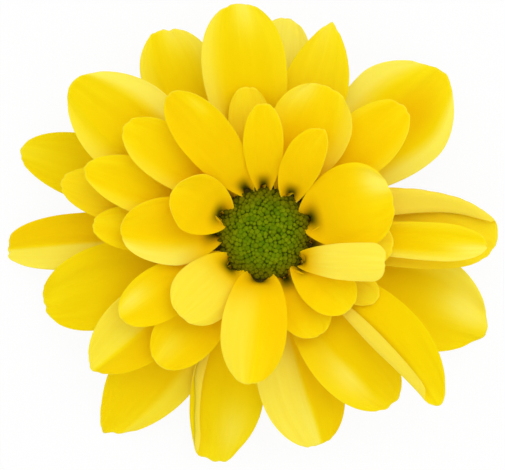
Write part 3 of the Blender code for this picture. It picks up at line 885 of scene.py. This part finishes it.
bracts = {
    "rings": [  # start and end in degrees round the cup's curve, turn as a share of one bract's step
        dict(start=8, end=58, width=3.0 * mm, layer=0.75 * mm, flare=0.25 * mm, turn=0.0, count=13),
        dict(start=18, end=78, width=3.3 * mm, layer=0.45 * mm, flare=0.3 * mm, turn=0.5, count=13),
        dict(start=30, end=92, width=3.3 * mm, layer=0.15 * mm, flare=0.9 * mm, turn=0.0, count=14),
    ],
    "columns": 24,
    "rows": 18,
    "thickness": 0.3 * mm,
    "stemRadius": 1.9 * mm,
    "cupRadius": 7.0 * mm,
    "cupBottom": 1.9 * mm,
    "cupTop": 5.0 * mm,
    "crown": 0.12 * mm,
    "turnStray": 0.05,
    "edges": dict(atTip=24.0, atRoot=24.0, roundness=0.5),
    "outline": dict(base=0.65, swell=2.4, tip=2.6, tipRoundness=0.62),
    "flareCurve": 4.0,
    "surface": {"Roughness": 0.65, "Specular IOR Level": 0.25},
    "colours": dict(
        base=(0.10, 0.20, 0.04), tip=(0.17, 0.28, 0.05), streak=(0.24, 0.34, 0.09), patch=(0.07, 0.14, 0.03),
        midrib=(0.26, 0.36, 0.11), edge=(0.42, 0.36, 0.18),
    ),
    "strengths": dict(streak=0.4, patch=0.25, veins=0.5, midrib=0.5, edge=0.8),
    "midribWidth": 0.12,
    "edgeSpans": dict(side=(0.72, 0.95), tip=(0.86, 1.0)),
    "veinFineness": 5.0,
    "veinDepth": 0.05 * mm,
    "mottleScale": 900.0,
}


def makeBractMaterial():
    colours, strengths, spans = (bracts[key] for key in ("colours", "strengths", "edgeSpans"))
    made, tree, shader = newMaterial("bractGreen", bracts["surface"])
    across, along, tone = (attribute(tree, name) for name in ("across", "along", "tone"))
    colour = blend(tree, along, colours["base"], colours["tip"])
    colour = addGrain(tree, shader, bracts, colour, across, along, tone)
    midrib = across.size().hill(0.0, bracts["midribWidth"]) * strengths["midrib"]
    colour = blend(tree, midrib, colour, colours["midrib"])
    edge = across.size().smooth(*spans["side"]).atLeast(along.smooth(*spans["tip"]))
    colour = blend(tree, edge * strengths["edge"], colour, colours["edge"])
    feed(tree, colour, shader.inputs["Base Color"])
    return made


def makeBractTree(finish):
    inputs = {
        "Int": "Count, Seed",
        "Float": (
            "Start, End, Width, Layer, Flare, Crown, Thickness, Stem Radius, Cup Radius, Cup Bottom, "
            "Cup Top, Turn"
        ),
        "Vector": "Centre",
    }
    tree = newTree("bractRow", "GeometryNodeTree", inputs, {"Geometry": "Bracts"})
    given = groupInputs(tree)
    sheet = newSheet(tree, bracts["columns"], bracts["rows"])
    around, along, _ = Arrow(tree, sheet.outputs["UV Map"]).parts()
    section = around * math.tau
    across, face = section.cos() * -1.0, section.sin()
    climb = given["Start"] + (given["End"] - given["Start"]) * along
    wide = given["Cup Radius"] - given["Stem Radius"]
    tall = given["Cup Top"] - given["Cup Bottom"]
    radius = given["Stem Radius"] + wide * climb.sin()
    height = given["Cup Bottom"] + tall * (1.0 - climb.cos())
    shape = bracts["outline"]
    outline = (along * shape["swell"]).atMost(1.0) ** 0.5 * (1.0 - shape["base"]) + shape["base"]
    outline = outline * (1.0 - along ** shape["tip"]).atLeast(0.0) ** shape["tipRoundness"]
    shell = shellHeight(face, along, given["Thickness"], **bracts["edges"])
    crown = given["Crown"] * outline * (1.0 - across * across)
    flare = given["Flare"] * along ** bracts["flareCurve"]
    stand = given["Layer"] + crown + flare + shell  # how far it stands off the cup
    outward = climb.sin() * tall
    down = climb.cos() * wide
    steep = (outward * outward + down * down) ** 0.5
    radius = radius + stand * outward / steep
    height = height - stand * down / steep
    swing = across * outline * given["Width"] * 0.5 / radius
    spot = arrow(tree, radius * swing.cos(), radius * swing.sin(), height)
    one = closeSheet(tree, sheet, {"across": across, "along": along}, spot)
    points = addNode(tree, "GeometryNodePoints", {"Count": given["Count"], "Position": (0.0, 0.0, 0.0)})
    index = Number(tree, addNode(tree, "GeometryNodeInputIndex").outputs[0])
    stray = bracts["turnStray"]
    chance = randomNumber(tree, -stray, stray, index, given["Seed"])
    turn = (index + given["Turn"]) / given["Count"] * math.tau + chance
    marked = store(tree, points.outputs[0], "tone", chance * 10.0)
    turned = addNode(tree, "FunctionNodeEulerToRotation", {0: arrow(tree, 0.0, 0.0, turn)})
    values = {"Points": marked, "Instance": one, "Rotation": turned.outputs[0]}
    ring = addNode(tree, "GeometryNodeInstanceOnPoints", values)
    finishTree(tree, ring.outputs[0], finish, given["Centre"])
    return tree


def growBracts():
    tree = makeBractTree(makeBractMaterial())
    nodes = [f"bract_{number:02d}" for number in range(1, 14)]
    for number, ring in enumerate(bracts["rings"], start=1):
        values = {
            **labelled(bracts),
            **labelled(ring),
            "Start": math.radians(ring["start"]),
            "End": math.radians(ring["end"]),
            "Seed": number,
            "Centre": headAxis,
        }
        thing = grow(f"bractRow{number}", tree, values)
        keep(thing, nodes)


growBracts()
print("stage: bracts")


# Peduncle: the cut stem and the receptacle it flares into.

peduncle = {
    "segments": 120,
    "ribs": 10,
    "ribDepth": 0.10 * mm,
    "ribCentre": 0.4,  # keeps the ribbed stem's mean radius inside its own
    "ribFade": 1.5 * mm,  # how far up the cup the ribs run out
    "cutFace": [(0.0, 0.12), (0.9, 0.08), (1.35, 0.05), (1.8, 0.0), (1.9, 0.1)],  # radius and height, mm
    "stemSteps": 6,
    "cupSteps": 12,
    "shoulder": [(7.3, 5.6), (7.2, 6.6), (6.6, 7.3)],  # radius and height, mm
    "topRadius": 5.8 * mm,
    "sharpAngle": math.radians(50),
    "surface": {"Roughness": 0.7, "Specular IOR Level": 0.1},
    "colours": dict(
        low=(0.17, 0.27, 0.06), high=(0.12, 0.20, 0.04), streak=(0.25, 0.36, 0.10), patch=(0.09, 0.15, 0.03),
        pith=(0.50, 0.50, 0.26), pores=(0.34, 0.36, 0.15), rind=(0.22, 0.30, 0.08), shade=(0.07, 0.06, 0.003),
    ),
    "pithSpan": (0.8 * mm, 1.5 * mm),
    "cutSpan": (0.02 * mm, 0.22 * mm),
    "shadeSpan": (5.0 * mm, 5.6 * mm),  # dark from here up, among the petals' claws
    "strengths": dict(streak=0.35, patch=0.25, veins=0.5),
    "tone": 0.3,
    "veinStretch": 120.0,
    "veinFineness": 6.0,
    "veinDepth": 0.06 * mm,
    "mottleScale": 1100.0,
    "poreScale": 3500.0,
    "poreSpan": (0.45, 0.6),
}


def makePeduncleMaterial():
    colours = peduncle["colours"]
    made, tree, shader = newMaterial("peduncleGreen", peduncle["surface"])
    place = objectPlace(tree)
    x, y, z = (place - arrow(tree, headAxis.x, headAxis.y, 0.0)).parts()
    radius = (x * x + y * y) ** 0.5
    turn = y.maths("ARCTAN2", x)
    colour = blend(tree, z.smooth(0.0, stemTop), colours["low"], colours["high"])
    colour = addGrain(tree, shader, peduncle, colour, turn, z * peduncle["veinStretch"], peduncle["tone"])
    cut = 1.0 - z.smooth(*peduncle["cutSpan"])
    pores = noise(tree, place, peduncle["poreScale"]).smooth(*peduncle["poreSpan"])
    pith = blend(tree, pores, colours["pith"], colours["pores"])
    face = blend(tree, radius.smooth(*peduncle["pithSpan"]), pith, colours["rind"])
    colour = blend(tree, cut, colour, face)
    colour = blend(tree, z.smooth(*peduncle["shadeSpan"]), colour, colours["shade"])
    feed(tree, colour, shader.inputs["Base Color"])
    return made


def peduncleProfile():  # radius and height, from the middle of the cut face to the middle of the top
    low, high, stem = bracts["cupBottom"], bracts["cupTop"], bracts["stemRadius"]
    profile = [(radius * mm, height * mm) for radius, height in peduncle["cutFace"]]
    rim = profile[-1][1]
    for step in range(1, peduncle["stemSteps"] + 1):
        profile.append((stem, rim + (low - rim) * step / peduncle["stemSteps"]))
    for step in range(1, peduncle["cupSteps"] + 1):
        climb = step / peduncle["cupSteps"] * math.pi / 2
        radius = stem + (bracts["cupRadius"] - stem) * math.sin(climb)
        profile.append((radius, low + (high - low) * (1 - math.cos(climb))))
    profile += [(radius * mm, height * mm) for radius, height in peduncle["shoulder"]]
    return profile + [(peduncle["topRadius"], stemTop), (0.0, stemTop)]


def growPeduncle():
    count, fade = peduncle["segments"], peduncle["ribFade"]
    points, faces, rings = [], [], []
    for radius, height in peduncleProfile():
        onRind = radius > peduncle["pithSpan"][1]
        ribbed = max(0.0, 1.0 - max(0.0, height - bracts["cupBottom"]) / fade) if onRind else 0.0
        around = count if radius else 1
        rings.append(range(len(points), len(points) + around))
        for step in range(around):
            angle = math.tau * step / count
            rib = math.cos(angle * peduncle["ribs"]) - peduncle["ribCentre"]
            reach = radius + peduncle["ribDepth"] * ribbed * rib
            x, y = reach * math.cos(angle), reach * math.sin(angle)
            points.append((headAxis.x + x, headAxis.y + y, height))
    for below, above in zip(rings, rings[1:]):
        for step in range(count):
            corners = [(below, step), (below, step + 1), (above, step + 1), (above, step)]
            corners = [ring[place % len(ring)] for ring, place in corners]
            faces.append(list(dict.fromkeys(corners)))  # three corners where a ring is one point
    mesh = bpy.data.meshes.new("peduncleAndReceptacle")
    mesh.from_pydata(points, [], faces)
    mesh.shade_smooth()
    mesh.set_sharp_from_angle(angle=peduncle["sharpAngle"])
    mesh.materials.append(makePeduncleMaterial())
    keep(addThing("peduncleAndReceptacle", mesh), ["peduncle"])


growPeduncle()
print("stage: peduncle")


# Floor, light and camera

studio = {
    "floorSize": 4.0,
    "floorColour": (0.9, 0.9, 0.9, 1.0),
    "floorWhiteness": 0.93,
    "worldStrength": 0.94,
    "lamp": dict(place=(0.28, 0.45, 0.75), size=0.7, power=1.35),
    "sensorWidth": 36.0,  # mm
    "clipStart": 0.01,
    "cameraHeight": 0.356,
    "frameWidth": 72.14 * mm,  # seen at the flower's height
    "seenHeight": 6.0 * mm,
    "aim": (0.177 * mm, 0.107 * mm),
}


def seenDirectly(tree):  # 1 where the camera sees it, also in a reflection or through glass
    rays = addNode(tree, "ShaderNodeLightPath")
    seen = Number(tree, rays.outputs["Is Camera Ray"])
    for name in ("Is Glossy Ray", "Is Transmission Ray"):
        seen = seen.atLeast(Number(tree, rays.outputs[name]))
    return seen


def makeFloor():
    values = {"Roughness": 0.9, "Base Color": studio["floorColour"], "Specular IOR Level": 0.0}
    made, tree, shader = newMaterial("floorWhite", values)
    glow = addNode(tree, "ShaderNodeEmission", {"Color": white, "Strength": 1.0})
    share = seenDirectly(tree) * studio["floorWhiteness"]
    mix = addNode(tree, "ShaderNodeMixShader", {0: share, 1: shader.outputs[0], 2: glow.outputs[0]})
    tree.links.new(mix.outputs[0], tree.nodes["Material Output"].inputs["Surface"])
    half = studio["floorSize"] / 2
    corners = [(-half, -half, 0), (half, -half, 0), (half, half, 0), (-half, half, 0)]
    mesh = bpy.data.meshes.new("floor")
    mesh.from_pydata(corners, [], [(0, 1, 2, 3)])
    mesh.materials.append(made)
    floor = addThing("floor", mesh)


def makeLight():
    world = bpy.data.worlds.new("studioWorld")
    scene.world = world
    world.use_nodes = True
    tree = world.node_tree
    light, backdrop = (
        addNode(tree, "ShaderNodeBackground", {"Color": white, "Strength": strength})
        for strength in (studio["worldStrength"], 1.0)
    )
    values = {0: seenDirectly(tree), 1: light.outputs[0], 2: backdrop.outputs[0]}
    mix = addNode(tree, "ShaderNodeMixShader", values)
    tree.links.new(mix.outputs[0], tree.nodes["World Output"].inputs["Surface"])
    lamp = bpy.data.lights.new("softLamp", "AREA")
    lamp.shape = "DISK"
    lamp.size = studio["lamp"]["size"]
    lamp.energy = studio["lamp"]["power"]
    thing = addThing("softLamp", lamp)
    thing.location = studio["lamp"]["place"]
    thing.rotation_euler = (-thing.location).to_track_quat("-Z", "Y").to_euler()


def makeCamera():
    lens = bpy.data.cameras.new("camera")
    lens.sensor_width = studio["sensorWidth"]
    distance = studio["cameraHeight"] - studio["seenHeight"]
    lens.lens = studio["sensorWidth"] * distance / studio["frameWidth"]
    lens.clip_start = studio["clipStart"]
    scene.camera = addThing("camera", lens)
    scene.camera.location = (*studio["aim"], studio["cameraHeight"])
    scene.view_settings.view_transform = "Standard"


makeFloor()
makeLight()
makeCamera()
print("stage: floor, light and camera")
